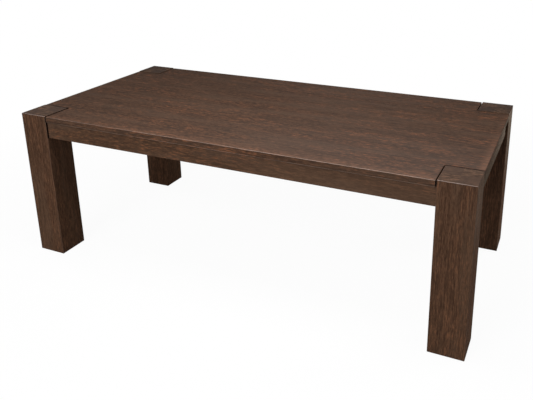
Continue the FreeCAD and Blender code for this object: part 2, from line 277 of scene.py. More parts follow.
def makeSoftBox(name):
    box = softBoxes[name]
    data = bpy.data.lights.new(name + "SoftBox", "AREA")
    data.shape = "RECTANGLE"
    data.size, data.size_y = box["size"]
    data.energy = box["power"]
    lamp = bpy.data.objects.new(name + "SoftBox", data)
    place = Vector(box["place"])
    aim = Vector(box["aim"]) - place
    lamp.matrix_world = Matrix.Translation(place) @ aim.to_track_quat("-Z", "Y").to_matrix().to_4x4()
    bpy.context.scene.collection.objects.link(lamp)


makeFloor()
makeSky()
for name in softBoxes:
    makeSoftBox(name)
bpy.context.scene.view_settings.view_transform = "Standard"
print("studio lit")


# Stained oak. Lengths are in metres. A size of grain is a length along the board and a width across
# it, and a row of four is two places or levels for ease and the shares that it gives there

# the edge colour of each finish is a painted highlight for its eased edges
finishes = {
    "topOak": {
        "grain": "X", "shift": (0.0, 0.0, 0.0), "pith": (0.31, -0.02),
        "streak": (0.120, 0.0100), "fleck": (0.026, 0.0050), "streakShare": 0.40, "redFlecks": 0.66,
        "ringGap": 0.009, "ringStrength": 0.10, "coolShare": 0.25, "sheen": 0.024, "roughness": 0.70,
        "dark": colour(57, 42, 33), "mid": colour(86, 63, 49), "warm": colour(132, 84, 58),
        "cool": colour(86, 69, 58), "edge": colour(172, 152, 140),
        "bandColour": colour(160, 116, 93), "bandFront": 0.21, "bandEnd": 0.24,
        # the pale colour paints a sheen, laid paler towards the front
        "pale": colour(98, 96, 96), "paleFront": 0.14, "paleLeft": 0.0,
        "footHighlight": colour(150, 134, 124),
    },
    "legOak": {
        "grain": "Z", "shift": (3.1, 1.7, 0.4), "pith": (0.012, 0.058), "inEachLeg": True,
        "streak": (0.090, 0.0032), "fleck": (0.026, 0.0016), "streakShare": 0.36, "redFlecks": 0.50,
        "ringGap": 0.015, "ringStrength": 0.55, "coolShare": 0.35, "sheen": 0.006, "roughness": 0.76,
        "dark": colour(59, 42, 32), "mid": colour(99, 72, 55), "warm": colour(128, 83, 57),
        "cool": colour(84, 67, 54), "edge": colour(172, 148, 134),
        # the grey colours paint a sheen on the right end
        "greySides": colour(156, 142, 126), "greyGrain": colour(96, 84, 73), "greyShare": (0.24, 0.85),
        "cornerShade": 0.90, "innerShade": 0.14,
    },
    "apronOak": {
        "grain": "X", "shift": (2.3, 4.9, 5.2), "pith": (0.05, -0.04),
        "streak": (0.090, 0.0055), "fleck": (0.030, 0.0026), "streakShare": 0.27, "redFlecks": 0.80,
        "ringGap": 0.009, "ringStrength": 0.15, "coolShare": 0.35, "sheen": 0.024, "roughness": 0.72,
        "dark": colour(65, 47, 36), "mid": colour(88, 67, 52), "warm": colour(120, 77, 53),
        "cool": colour(87, 69, 58), "edge": colour(150, 122, 104),
        # the pale colour is painted light, laid on towards the right
        "pale": colour(128, 100, 82), "paleRight": (0.0, 0.35, 0.0, 0.11),
    },
    "endOak": {
        "grain": "Y", "shift": (1.3, 8.9, 3.2), "pith": (0.04, 0.03),
        "streak": (0.090, 0.0055), "fleck": (0.024, 0.0032), "streakShare": 0.30, "redFlecks": 0.40,
        "ringGap": 0.009, "ringStrength": 0.18, "coolShare": 0.50, "sheen": 0.006, "roughness": 0.76,
        "dark": colour(58, 46, 36), "mid": colour(82, 65, 52), "warm": colour(102, 75, 57),
        "cool": colour(84, 71, 58), "edge": colour(150, 124, 106),
        # the grey colours paint a sheen on the right end
        "greySides": colour(156, 142, 126), "greyGrain": colour(96, 84, 73), "greyShare": (0.08, 0.88),
        "endEdgeShade": 0.45,
    },
    "capOak": {
        "grain": "X", "shift": (5.3, 4.9, 2.2), "pith": (0.07, 0.05),
        "streak": (0.060, 0.0090), "fleck": (0.020, 0.0080), "streakShare": 0.22, "redFlecks": 0.52,
        "ringGap": 0.009, "ringStrength": 0.15, "coolShare": 0.30, "sheen": 0.024, "roughness": 0.70,
        "dark": colour(48, 37, 30), "mid": colour(94, 73, 59), "warm": colour(124, 86, 64),
        "cool": colour(87, 72, 62), "edge": colour(184, 164, 155), "quarter": colour(57, 45, 39),
        # the pale colour paints a sheen, laid paler towards the front
        "pale": colour(128, 102, 88), "paleFront": 0.11, "paleLeft": 0.6,
    },
    "railWood": {
        "grain": "Y", "shift": (4.4, 6.1, 9.7), "pith": (0.05, 0.04),
        "streak": (0.110, 0.0070), "fleck": (0.028, 0.0040), "streakShare": 0.34, "redFlecks": 0.40,
        "ringGap": 0.009, "ringStrength": 0.25, "coolShare": 0.40, "sheen": 0.030, "roughness": 0.78,
        "dark": colour(62, 47, 37), "mid": colour(98, 75, 57), "warm": colour(118, 84, 60),
        "cool": colour(92, 76, 64), "edge": colour(112, 88, 68),
    },
}
finishes["stubWood"] = {**finishes["railWood"], "grain": "X"}
finishes["blockWood"] = {**finishes["railWood"], "grain": "Z", "shift": (9.4, 0.6, 3.7)}


oakGrain = {
    "cloud": (0.62, 0.075),               # broad patches of tone and of redness
    "blotch": (0.045, 0.0120),
    "pore": (0.013, 0.0008),
    "layerStep": (1.0, 1.7, 2.3),         # the way in which the layers are moved apart
    "layerRoughness": 0.6,
    "ringTilt": 0.055,                    # of the pith to the board
    "ringWarp": 0.064,
    "ringStreaks": 3.0,                   # how far the streaks move the rings
    "figureShare": 0.52,                  # of streaks and blotches together in the tone
    "fleckShare": 0.40,
    "cloudShare": 0.08,
    "warmFlecks": 0.48,
    "darkFlecks": 0.55,
    "poreShare": 0.40,
    "poreColour": (0.012, 0.008, 0.006, 1.0),
    "roughnessSwing": 0.16,
    "poreRoughness": 0.10,
    "bumpStrength": 0.5,
    "bumpDepth": 0.0002,
    "bumpShares": {"fleck": 0.35, "streak": 0.25, "pore": -0.6, "darkFleck": -0.3},
}

oakLayers = {                # of noise: which size each one takes, its detail, and how far it is moved
    "cloud": ("cloud", 1.5, 3.0),
    "redness": ("cloud", 1.5, 17.0),
    "streak": ("streak", 3.0, 23.0),
    "blotch": ("blotch", 2.0, 91.0),
    "fleck": ("fleck", 2.0, 37.0),
    "darkFleck": ("fleck", 1.0, 71.0),
    "pore": ("pore", 1.0, 51.0),
}

levels = {                   # of noise, at which each thing starts to show and shows in full
    "tone": (0.39, 0.61),
    "cool": (0.46, 0.62),
    "warm": (0.50, 0.62),
    "red": (0.40, 0.62, 0.2, 1.0),
    "darkFleck": (0.58, 0.72),
    "pore": (0.56, 0.68),
    "ring": (0.45, 1.0),                  # of the rings' sine
    "ringPatch": (0.40, 0.60),
    "highlightStreak": (0.35, 0.60, 0.65, 1.0),
    "bandFleck": (0.36, 0.62, 0.3, 1.2),
    "lineStreak": (0.38, 0.58, 0.05, 0.28),
    "greyFleck": (0.52, 0.70, 0.0, 0.5),
}

turns = {                    # of a face's normal, at which the face starts to count and counts in full
    "sideways": (0.5, 0.9),               # of its x, squared
    "endEdge": (0.02, 0.30),              # of its x, squared, on eased edges
    "eased": (0.08, 0.32),                # of what its longest part, squared, leaves of 1
    "upwards": (0.90, 0.98),
    "gapWall": (0.80, 0.96, 1.0, 0.0),    # of its z
    "forwards": (-0.9, -0.5, 1.0, 0.0),   # of its y
    "litFront": (0.1, 0.6, 0.03, 1.0),     # of its y, forwards
    "above": (0.05, 0.45),                # of its z, on eased edges
}


class OakBoard:  # one finish: where a point lies, how it faces, its grain, and the colour laid on so far
    def __init__(self, name):
        self.finish = finishes[name]
        self.material, self.tree = newMaterial(name)
        place = self.tree.add("ShaderNodeTexCoord", output="Object")
        self.x, self.y, self.z = self.tree.parts(place)
        self.sideX = self.x.maths("ABSOLUTE")
        self.sideY = self.y.maths("ABSOLUTE")
        self.fromFront = self.y + halfWidth

        facing = self.tree.add("ShaderNodeTexCoord", output="Normal")
        self.facingY, self.facingZ = self.tree.parts(facing)[1:]
        squares = self.tree.parts(self.tree.vector("MULTIPLY", facing, facing))
        longest = squares[0].maths("MAXIMUM", squares[1]).maths("MAXIMUM", squares[2])
        self.eased = (1 - longest).ease(*turns["eased"])
        self.endEdge = squares[0].ease(*turns["endEdge"]) * self.eased
        self.sideways = squares[0].ease(*turns["sideways"])
        self.upwards = self.facingZ.ease(*turns["upwards"])

        shifted = self.tree.vector("ADD", place, self.finish["shift"])
        self.layers = {layer: self.noise(shifted, *oakLayers[layer]) for layer in oakLayers}
        self.layers["pore"] = self.layers["pore"].ease(*levels["pore"])

    def noise(self, place, size, detail, shift):  # stretched along the grain
        long, wide = self.finish[size] if size in self.finish else oakGrain[size]
        stretch = [1 / wide] * 3
        stretch["XYZ".index(self.finish["grain"])] = 1 / long
        scaled = self.tree.vector("MULTIPLY", place, stretch)
        moved = self.tree.vector("ADD", scaled, [shift * step for step in oakGrain["layerStep"]])
        values = {"Vector": moved, "Scale": 1.0, "Detail": detail, "Roughness": oakGrain["layerRoughness"]}
        return self.tree.add("ShaderNodeTexNoise", {}, values)

    def lay(self, share, paint):
        self.body = self.tree.mix(share, self.body, paint)


def ringsIn(board):  # round a pith that runs through the board at a slant, for arches on a sawn face
    x, y, z = board.x, board.y, board.z
    finish, layers = board.finish, board.layers
    along, across, depth = {"X": (x, y, z), "Y": (y, x, z), "Z": (z, x, y)}[finish["grain"]]
    if "inEachLeg" in finish:
        across, depth = board.sideX - capMiddle.x, board.sideY - capMiddle.y
    warp = (layers["cloud"] - 0.5) * oakGrain["ringWarp"]
    sideways = across - finish["pith"][0] + warp
    inwards = depth - finish["pith"][1] + along * oakGrain["ringTilt"] + warp
    radius = (sideways * sideways + inwards * inwards).maths("SQRT")
    rings = radius * (2 * math.pi / finish["ringGap"]) + layers["streak"] * oakGrain["ringStreaks"]
    patches = layers["blotch"].ease(*levels["ringPatch"])
    return rings.maths("SINE").ease(*levels["ring"]) * patches * finish["ringStrength"]


def layGrain(board):  # the wood itself: figure, cool patches, warm and dark flecks, rings and pores
    finish, layers = board.finish, board.layers
    share = finish["streakShare"]  # of the long streaks in the figure, against the blotches
    figure = layers["streak"] * share + layers["blotch"] * (oakGrain["figureShare"] - share)
    tone = figure + layers["fleck"] * oakGrain["fleckShare"] + layers["cloud"] * oakGrain["cloudShare"]
    board.tone = tone.ease(*levels["tone"])
    board.body = board.tree.mix(board.tone, finish["dark"], finish["mid"])
    board.lay(layers["cloud"].ease(*levels["cool"]) * finish["coolShare"], finish["cool"])
    warmth = (layers["fleck"] * oakGrain["warmFlecks"] + figure).ease(*levels["warm"])
    warmth = warmth * layers["redness"].ease(*levels["red"])
    board.lay(warmth * finish["redFlecks"], finish["warm"])
    darkness = layers["darkFleck"].ease(*levels["darkFleck"]) * oakGrain["darkFlecks"]
    board.lay(darkness + ringsIn(board), finish["dark"])
    board.lay(layers["pore"] * oakGrain["poreShare"], oakGrain["poreColour"])


# Painted light and shade, lighter bands and the caps' quarters, which each finish takes by the values that
# it holds

finishMarks = {
    # near black, painted as shade in the gaps, in corners, on end edges and as a shadow line
    "paintedShade": colour(20, 14, 11),
    "quarterBlur": 0.00002,               # square metres
    "quarterShare": 0.60,
    "paleReach": 0.80,                    # from the front, over the top
    "paleInTop": 0.3,                     # what the notches' lippings take of the aprons' painted lighter tone
    "paleBlur": 0.001,
    "bandReach": 0.100,                   # from the front edge of the top
    "bandLength": (0.5, 0.9),             # from the left end to the middle
    "endReach": 0.045,                    # from the right end of the top
    "endWidth": (1.0, 0.2),               # from the front towards the rear
    "darkLine": (0.0040, 0.0065),         # above the foot of the top
    "darkLineShare": 0.16,
    "paleLine": (-0.001, 0.0018),
    "lineBlur": 0.0015,
    "greyDepth": (-0.030, -0.015),        # x from the right end
    "greyHeight": (0.35, 0.70),           # z
    "greyRear": (-0.24, 0.52),            # y
    "greyRearHeight": (0.30, 0.80),       # z
    "cornerBlur": 0.004,
    "innerReach": 0.020,                  # from a leg's inner face into the leg
    "rimReach": (0.002, 0.006, 1.0, 0.0),  # from the table's rim inwards
    "highlightLength": (0.35, 1.0),          # along the top, from the left
    "lowEdge": (0.14, 0.45),              # on edges below the top's foot, and above it
    "lowEdgeBlur": 0.003,
    "gapShadeShare": 0.92,
    "gapShadeReach": 0.0022,                 # past the gap, on the eased edges
    "rimShadeReach": 0.0130,                   # past the gap, on the top behind the front legs
    "gapShadeFront": 0.030,                  # from the front, where the gap is painted darkest
    "gapShadeLength": (1.0, 0.15),           # behind that, from the left end to the right
    "gapShadeWidth": (-0.3, 0.3, 1.0, 0.0),  # and from the front legs to the rear ones
}


def layQuarters(board):  # the four quarters of a leg's cap differ in tone
    crossed = (board.sideX - capMiddle.x) * (board.sideY - capMiddle.y)
    share = crossed.ease(-finishMarks["quarterBlur"], finishMarks["quarterBlur"]) * finishMarks["quarterShare"]
    board.lay(share, board.finish["quarter"])


def layFrontSheen(board):  # painted sheen: a face that looks up is painted a little paler towards the front
    finish = board.finish
    pale = board.fromFront.ease(0.0, finishMarks["paleReach"], finish["paleFront"], 0.0) * board.upwards
    board.lay(pale * board.x.ease(-halfLength, halfLength, finish["paleLeft"], 1.0), finish["pale"])


def layRightLight(board):  # painted light: an apron is painted paler towards the right
    blur = finishMarks["paleBlur"]
    inTop = board.z.ease(topFoot - blur, topFoot + blur, 1.0, finishMarks["paleInTop"])
    board.lay(board.x.ease(*board.finish["paleRight"]) * inTop, board.finish["pale"])


def layLighterBands(board):  # the top is lighter along the front edge and the right end, steepest at the edge
    finish, reach = board.finish, finishMarks["bandReach"]
    front = board.fromFront.ease(-reach, reach, finish["bandFront"] * 2, 0.0)
    front = front * board.layers["fleck"].ease(*levels["bandFleck"])
    front = front * board.x.ease(-halfLength, 0.0, *finishMarks["bandLength"])
    end = board.x.ease(halfLength - finishMarks["endReach"], halfLength, 0.0, finish["bandEnd"])
    end = end * board.y.ease(-halfWidth, halfWidth / 2, *finishMarks["endWidth"])
    board.lay(front.maths("MAXIMUM", end) * board.upwards, finish["bandColour"])


def layFootLines(board):  # a painted shadow line and a painted highlight along the foot of the top's front edge
    above = board.z - topFoot
    dark = within(above, *finishMarks["darkLine"], finishMarks["lineBlur"])
    board.lay(dark * finishMarks["darkLineShare"], finishMarks["paintedShade"])
    pale = within(above, *finishMarks["paleLine"], finishMarks["lineBlur"]) * board.facingY.ease(*turns["forwards"])
    board.lay(pale * board.layers["streak"].ease(*levels["lineStreak"]), board.finish["footHighlight"])


def layEndSheen(board):  # painted sheen: the right end is painted greyer above, most of all at the rear
    finish = board.finish
    front, rear = finish["greyShare"]
    rear = board.y.ease(*finishMarks["greyRear"]) * board.z.ease(*finishMarks["greyRearHeight"]) * rear
    grey = (board.z.ease(*finishMarks["greyHeight"]) * front).maths("MAXIMUM", rear)
    outside = board.sideways * (board.x - halfLength).ease(*finishMarks["greyDepth"])
    tone = board.tone - board.layers["darkFleck"].ease(*levels["greyFleck"])
    board.lay(outside * grey, board.tree.mix(tone, finish["greyGrain"], finish["greySides"]))


def layInnerShade(board):  # painted shade on a leg's inner face, darkest in the corner beside a long apron
    blur = finishMarks["cornerBlur"]
    corner = (halfWidth - board.sideY).ease(apronRecess, apronRecess + blur, 1.0, 0.0)
    corner = corner * within(board.z, apronFoot, topFoot, blur) * board.finish["cornerShade"]
    start = gap["x"][1]
    inside = board.sideways * board.sideX.ease(start, start + finishMarks["innerReach"], 1.0, 0.0)
    board.lay(inside * corner.maths("MAXIMUM", board.finish["innerShade"]), finishMarks["paintedShade"])


def layEndEdgeShade(board):  # painted shade on the eased edges of the left and right ends
    board.lay(board.endEdge * board.finish["endEdgeShade"], finishMarks["paintedShade"])


def layEdgeHighlights(board):  # painted highlight on the rim's eased edges, most of all above and in front
    toRim = (halfLength - board.sideX).maths("MINIMUM", halfWidth - board.sideY)
    lowEdge = board.z.ease(topFoot - finishMarks["lowEdgeBlur"], topFoot, *finishMarks["lowEdge"])
    highlight = board.eased * (-board.facingY).ease(*turns["litFront"])
    highlight = highlight * board.facingZ.ease(*turns["above"], lowEdge, 1.0)
    highlight = highlight * toRim.ease(*finishMarks["rimReach"]) * board.layers["streak"].ease(*levels["highlightStreak"])
    if "bandFront" in board.finish:
        highlight = highlight * board.x.ease(-halfLength, halfLength / 2, *finishMarks["highlightLength"])
    board.lay(highlight, board.finish["edge"])


def layGapShade(board):  # painted shade in the shadow gap, on the eased edges beside it, and on the top just behind the front legs
    sideX, sideY, forwards = board.sideX, board.sideY, -board.y
    gapX, gapY, reach = gap["x"], gap["y"], finishMarks["gapShadeReach"]
    besideLeg = within(sideX, *gapX, reach) * sideY.ease(gapY[0] - reach, gapY[0])
    behindLeg = within(sideY, *gapY, reach) * sideX.ease(gapX[0] - reach, gapX[0])
    inGap = besideLeg.maths("MAXIMUM", behindLeg) * board.facingZ.ease(*turns["gapWall"])
    inFront = board.fromFront.ease(0.0, finishMarks["gapShadeFront"], 1.0, 0.0)
    behind = board.x.ease(-halfLength, halfLength, *finishMarks["gapShadeLength"]) * board.y.ease(*finishMarks["gapShadeWidth"])
    inGap = inGap * (inFront + (1 - inFront) * behind)
    onRim = forwards.ease(gapY[0] - finishMarks["rimShadeReach"], gapY[0]) * forwards.ease(*gapY, 1.0, 0.0)
    shaded = inGap.maths("MAXIMUM", onRim * sideX.ease(*gapX)) * within(board.z, *gap["z"], reach)
    board.lay(shaded * finishMarks["gapShadeShare"], finishMarks["paintedShade"])


markSteps = {                # in the order they are laid on, each for the finishes that hold its value
    "quarter": layQuarters,
    "paleFront": layFrontSheen,
    "paleRight": layRightLight,
    "bandFront": layLighterBands,
    "footHighlight": layFootLines,
    "greySides": layEndSheen,
    "cornerShade": layInnerShade,
    "endEdgeShade": layEndEdgeShade,
    "edge": layEdgeHighlights,
}


def makeOak(name):
    board = OakBoard(name)
    tree, finish, layers = board.tree, board.finish, board.layers
    layGrain(board)
    for value, layMark in markSteps.items():
        if value in finish:
            layMark(board)
    layGapShade(board)
    roughness = finish["roughness"] + (layers["streak"] - 0.5) * oakGrain["roughnessSwing"]
    roughness = roughness + layers["pore"] * oakGrain["poreRoughness"]
    relief = sum(layers[layer] * share for layer, share in oakGrain["bumpShares"].items())
    values = {"Strength": oakGrain["bumpStrength"], "Distance": oakGrain["bumpDepth"], "Height": relief}
    bump = tree.add("ShaderNodeBump", {}, values)
    values = {"Base Color": board.body, "Roughness": roughness, "Normal": bump,
              "Specular IOR Level": finish["sheen"]}
    surface = tree.add("ShaderNodeBsdfPrincipled", {}, values)
    tree.add("ShaderNodeOutputMaterial", {}, {"Surface": surface})
    return board.material


# Plain finishes: metal, nylon, core board and beech

plain = {
    "zincSteel": {"base": colour(168, 168, 164), "metallic": 1.0, "roughness": 0.38, "grainSize": 0.004},
    "blackSteel": {"base": colour(40, 40, 42), "metallic": 0.8, "roughness": 0.45, "grainSize": 0.003},
    "brass": {"base": colour(196, 160, 92), "metallic": 1.0, "roughness": 0.35, "grainSize": 0.004},
    "nylon": {"base": colour(38, 34, 31), "metallic": 0.0, "roughness": 0.55, "grainSize": 0.002},
    "coreBoard": {"base": colour(112, 86, 60), "metallic": 0.0, "roughness": 0.80, "grainSize": 0.003},
    "beech": {"base": colour(176, 138, 98), "metallic": 0.0, "roughness": 0.65, "grainSize": 0.006},
}

plainGrain = {
    "detail": 3.0,
    "levels": (0.35, 0.65),
    "darkest": 0.72,                # of the base colour
    "bumpStrength": 0.15,
    "bumpDepth": 0.0001,
    "roughnessSwing": 0.16,
}


def makePlain(name):
    finish = plain[name]
    material, tree = newMaterial(name)
    place = tree.add("ShaderNodeTexCoord", output="Object")
    values = {"Vector": place, "Scale": 1 / finish["grainSize"], "Detail": plainGrain["detail"]}
    grain = tree.add("ShaderNodeTexNoise", {}, values)
    base = finish["base"]
    darker = tuple(level * plainGrain["darkest"] for level in base[:3]) + (1.0,)
    body = tree.mix(grain.ease(*plainGrain["levels"]), darker, base)
    values = {"Strength": plainGrain["bumpStrength"], "Distance": plainGrain["bumpDepth"], "Height": grain}
    bump = tree.add("ShaderNodeBump", {}, values)
    roughness = finish["roughness"] + (grain - 0.5) * plainGrain["roughnessSwing"]
    values = {"Base Color": body, "Metallic": finish["metallic"], "Normal": bump, "Roughness": roughness}
    surface = tree.add("ShaderNodeBsdfPrincipled", {}, values)
    tree.add("ShaderNodeOutputMaterial", {}, {"Surface": surface})
    return material


materials = {name: makeOak(name) for name in finishes}
materials.update({name: makePlain(name) for name in plain})
print("materials made:", len(materials))


# Which finish each piece of the table takes

finishOf = {
    "top_face_layer": "topOak", "top_backing_layer": "topOak", "top_core": "coreBoard",
    "top_lipping_front": "topOak", "top_lipping_rear": "topOak",
    "top_lipping_left": "endOak", "top_lipping_right": "endOak", "notch_lippings": "apronOak",
    "front_apron": "apronOak", "rear_apron": "apronOak", "left_apron": "endOak", "right_apron": "endOak",
    "rail_dowels": "beech", "glue_blocks": "blockWood",
    "top_clips": "zincSteel", "top_clip_screws": "zincSteel", "glide_screws": "zincSteel",
    "leg_bolts": "blackSteel", "leg_bolt_washers": "zincSteel", "leg_inserts": "brass",
}


def finishFor(name):
    if name in finishOf:
        return finishOf[name]
    if name.endswith("_glide"):
        return "nylon"
    if name.endswith("_cap"):
        return "capOak"
    if name.endswith("_board"):
        return "legOak"
    if name.endswith("_stub_rail"):
        return "stubWood"
    return "railWood" if name.endswith("_rail") else "blockWood"


for name, item in nodes.items():
    for holder in item.material_slots:
        holder.material = materials[finishFor(name)]
print("finishes given")


# Hardware. Each tree draws one piece along its own z axis and puts a copy on every seat

mergeDistance = 0.000001


def solidBoxes(name):  # lowest and highest corner of each separate solid in a node
    shell = bmesh.new()
    shell.from_mesh(nodes[name].data)
    bmesh.ops.remove_doubles(shell, verts=shell.verts, dist=mergeDistance)
    waiting = set(shell.verts)
    boxes = []
    while waiting:
        group = [waiting.pop()]
        for vert in group:
            beside = {edge.other_vert(vert) for edge in vert.link_edges} & waiting
            waiting -= beside
            group.extend(beside)
        places = [vert.co for vert in group]
        boxes.append((Vector(map(min, zip(*places))), Vector(map(max, zip(*places)))))
    shell.free()
    return sorted(boxes, key=lambda box: [round(value, 4) for value in box[0]])


# One seat for each solid, at its end nearer the origin, looking away from there along its longest or
# its shortest side. The inset is the height of a screw's head, which lies before the seat
def seatsOf(name, pick, inset=0.0):
    seats = []
    for low, high in solidBoxes(name):
        size = high - low
        middle = (low + high) / 2
        axis = pick(range(3), key=lambda index: size[index])
        way = Vector((0, 0, 0))
        way[axis] = math.copysign(1, middle[axis])
        seats.append((middle - way * (size[axis] / 2 - inset), way))
    return seats


def clipSeats():  # on the underside of the top at each clip's screw, the way that the clip's flange looks
    screws = [(low + high) / 2 for low, high in solidBoxes("top_clip_screws")]
    seats = []
    for low, high in solidBoxes("top_clips"):
        middle = (low + high) / 2
        screw = min(screws, key=lambda place: (place - middle).xy.length)
        way = (screw - middle).xy.normalized()
        seats.append((Vector((screw.x, screw.y, high.z)), Vector((way.x, way.y, 0))))
    return seats


def makeHardware(piece):
    hardware = hardwarePieces[piece]
    seats = hardware["seats"]
    mesh = bpy.data.meshes.new(piece + "Seats")
    mesh.from_pydata([place for place, way in seats], [], [])
    ways = mesh.attributes.new("way", "FLOAT_VECTOR", "POINT")
    ways.data.foreach_set("vector", [value for place, way in seats for value in way])
    item = bpy.data.objects.new(piece, mesh)
    bpy.context.scene.collection.objects.link(item)

    group = bpy.data.node_groups.new(piece, "GeometryNodeTree")
    tree = NodeTree(group)
    group.interface.new_socket("Geometry", in_out="OUTPUT", socket_type="NodeSocketGeometry")
    group.interface.new_socket("Geometry", in_out="INPUT", socket_type="NodeSocketGeometry")
    sockets = {}
    for size in hardware["sizes"]:
        sockets[size] = group.interface.new_socket(size, in_out="INPUT", socket_type="NodeSocketFloat")
    entry = group.nodes.new("NodeGroupInput")
    sizes = {size: Wire(tree, entry.outputs[size]) for size in hardware["sizes"]}
    shape = hardware["draw"](tree, sizes)
    way = tree.add("GeometryNodeInputNamedAttribute", {"data_type": "FLOAT_VECTOR"}, {"Name": "way"})
    turn = tree.add("FunctionNodeAlignRotationToVector", {"axis": hardware["axis"]}, {"Vector": way})
    values = {"Points": Wire(tree, entry.outputs["Geometry"]), "Instance": shape, "Rotation": turn}
    copies = tree.add("GeometryNodeInstanceOnPoints", {}, values)
    solid = tree.add("GeometryNodeRealizeInstances", {}, {"Geometry": copies})
    values = {"Geometry": solid, "Material": materials[hardware["finish"]]}
    dressed = tree.add("GeometryNodeSetMaterial", {}, values)
    tree.add("NodeGroupOutput", {}, {"Geometry": dressed})

    modifier = item.modifiers.new(piece, "NODES")
    modifier.node_group = group
    for size, value in hardware["sizes"].items():
        modifier[sockets[size].identifier] = value
    evaluated = item.evaluated_get(bpy.context.evaluated_depsgraph_get())
    drawn = bpy.data.meshes.new_from_object(evaluated)
    item.modifiers.clear()
    item.data = drawn
    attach(item, "root")
    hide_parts(hardware["node"])
    print(piece, "drawn:", len(seats), "pieces,", len(drawn.polygons), "faces")


def moved(tree, shape, height):
    place = tree.add("ShaderNodeCombineXYZ", {}, {"Z": height})
    return tree.add("GeometryNodeTransform", {}, {"Geometry": shape, "Translation": place})


def turned(tree, radius, start, length, sides, rings, ridge=None):  # a round bar, its radius times ridge
    values = {"Vertices": sides, "Side Segments": rings, "Radius": radius, "Depth": length}
    bar = tree.add("GeometryNodeMeshCylinder", {}, values, output="Mesh")
    if ridge:
        place = tree.add("GeometryNodeInputPosition")
        x, y, z = tree.parts(place)
        factor = ridge(z / length + 0.5)
        wider = tree.add("ShaderNodeCombineXYZ", {}, {"X": x * factor, "Y": y * factor, "Z": z})
        bar = tree.add("GeometryNodeSetPosition", {}, {"Geometry": bar, "Position": wider})
    return moved(tree, bar, start + length * 0.5)


threadShape = {
    "steps": 12,                    # in one turn
    "sides": 3,
}


def thread(tree, radius, depth, pitch, start, length):  # a ridge wound round a core
    core = radius - depth
    values = {"Resolution": threadShape["steps"], "Rotations": length / pitch, "Start Radius": core,
              "End Radius": core, "Height": length}
    helix = tree.add("GeometryNodeCurveSpiral", {}, values)
    values = {"Resolution": threadShape["sides"], "Radius": depth}
    outline = tree.add("GeometryNodeCurvePrimitiveCircle", {}, values)
    values = {"Curve": helix, "Profile Curve": outline, "Fill Caps": True}
    return moved(tree, tree.add("GeometryNodeCurveToMesh", {}, values), start)


def cut(tree, shape, tool):
    settings = {"operation": "DIFFERENCE", "solver": "EXACT"}
    return tree.add("GeometryNodeMeshBoolean", settings, {"Mesh 1": shape, "Mesh 2": tool}, output="Mesh")


def joined(tree, shapes):
    return tree.add("GeometryNodeJoinGeometry", {}, {"Geometry": shapes})


edgeSteps = 2                # on each eased corner of a section


def roundedStrip(tree, size, width, height):  # an oblong section with eased corners
    section = tree.add("GeometryNodeCurvePrimitiveQuadrilateral", {}, {"Width": width, "Height": height})
    values = {"Curve": section, "Count": edgeSteps, "Radius": size["edge radius"]}
    return tree.add("GeometryNodeFilletCurve", {"mode": "POLY"}, values)


screwShape = {
    "headSides": 24, "headRings": 5,
    "shankSides": 12, "shankRings": 8,
    "dome": (0.0, 0.7, 0.62, 1.0),     # two heights in the head, and the radius there, all as shares
    "point": (0.80, 1.0, 1.0, 0.12),   # the same for the shank
    "recess": (1.25, 0.24),            # length and width of an arm, as shares of the head's radius
    "threadStart": 0.18,               # as shares of the shank's length
    "threadLength": 0.62,
}


def drawScrew(tree, size):  # pan head under z = 0 with a cross recess, and a threaded shank with a point
    shape = screwShape
    headRadius, headHeight = size["head radius"], size["head height"]

    def dome(rise):
        return rise.ease(*shape["dome"])

    def point(rise):
        return rise.ease(*shape["point"])

    head = turned(tree, headRadius, -headHeight, headHeight, shape["headSides"], shape["headRings"], dome)
    for long, wide in (shape["recess"], shape["recess"][::-1]):
        values = {"X": headRadius * long, "Y": headRadius * wide, "Z": headHeight}
        span = tree.add("ShaderNodeCombineXYZ", {}, values)
        arm = tree.add("GeometryNodeMeshCube", {}, {"Size": span}, output="Mesh")
        head = cut(tree, head, moved(tree, arm, -headHeight))
    length, radius, depth = size["length"], size["shank radius"], size["thread depth"]
    core = turned(tree, radius - depth, 0.0, length, shape["shankSides"], shape["shankRings"], point)
    start, wound = length * shape["threadStart"], length * shape["threadLength"]
    ridge = thread(tree, radius, depth, size["thread pitch"], start, wound)
    return joined(tree, [head, core, ridge])


boltShape = {
    "headSides": 36, "headRings": 5,
    "shankSides": 24,
    "coreSides": 16, "coreRings": 8,
    "socketSides": 6,
    "shoulder": (0.0, 0.2, 0.92, 1.0),  # two heights in the head, and the radius there, all as shares
    "taper": (0.94, 1.0, 1.0, 0.8),     # the same for the threaded core
    "knurlDepth": 0.035,                # as a share of the head's radius
    "threadShare": 0.97,                # of the core that the ridge is wound on
}


def drawBolt(tree, size):  # knurled socket head under z = 0, and a shank threaded at its end
    shape = boltShape
    headRadius, headHeight = size["head radius"], size["head height"]

    def knurl(rise):
        index = tree.add("GeometryNodeInputIndex")
        return rise.ease(*shape["shoulder"]) - index.maths("MODULO", 2.0) * shape["knurlDepth"]

    def taper(rise):
        return rise.ease(*shape["taper"])

    head = turned(tree, headRadius, -headHeight, headHeight, shape["headSides"], shape["headRings"], knurl)
    socketRadius = size["socket width"] * (1 / math.sqrt(3))  # to its corners, from its width over flats
    socketDepth = size["socket depth"]
    socketStart = -headHeight - socketDepth
    socket = turned(tree, socketRadius, socketStart, socketDepth * 2, shape["socketSides"], 1)
    head = cut(tree, head, socket)
    radius, depth, threaded = size["shank radius"], size["thread depth"], size["thread length"]
    plainLength = size["length"] - threaded
    shank = turned(tree, radius, 0.0, plainLength, shape["shankSides"], 1)
    sides, rings = shape["coreSides"], shape["coreRings"]
    core = turned(tree, radius - depth, plainLength, threaded, sides, rings, taper)
    wound = threaded * shape["threadShare"]
    ridge = thread(tree, radius, depth, size["thread pitch"], plainLength, wound)
    return joined(tree, [head, shank, core, ridge])


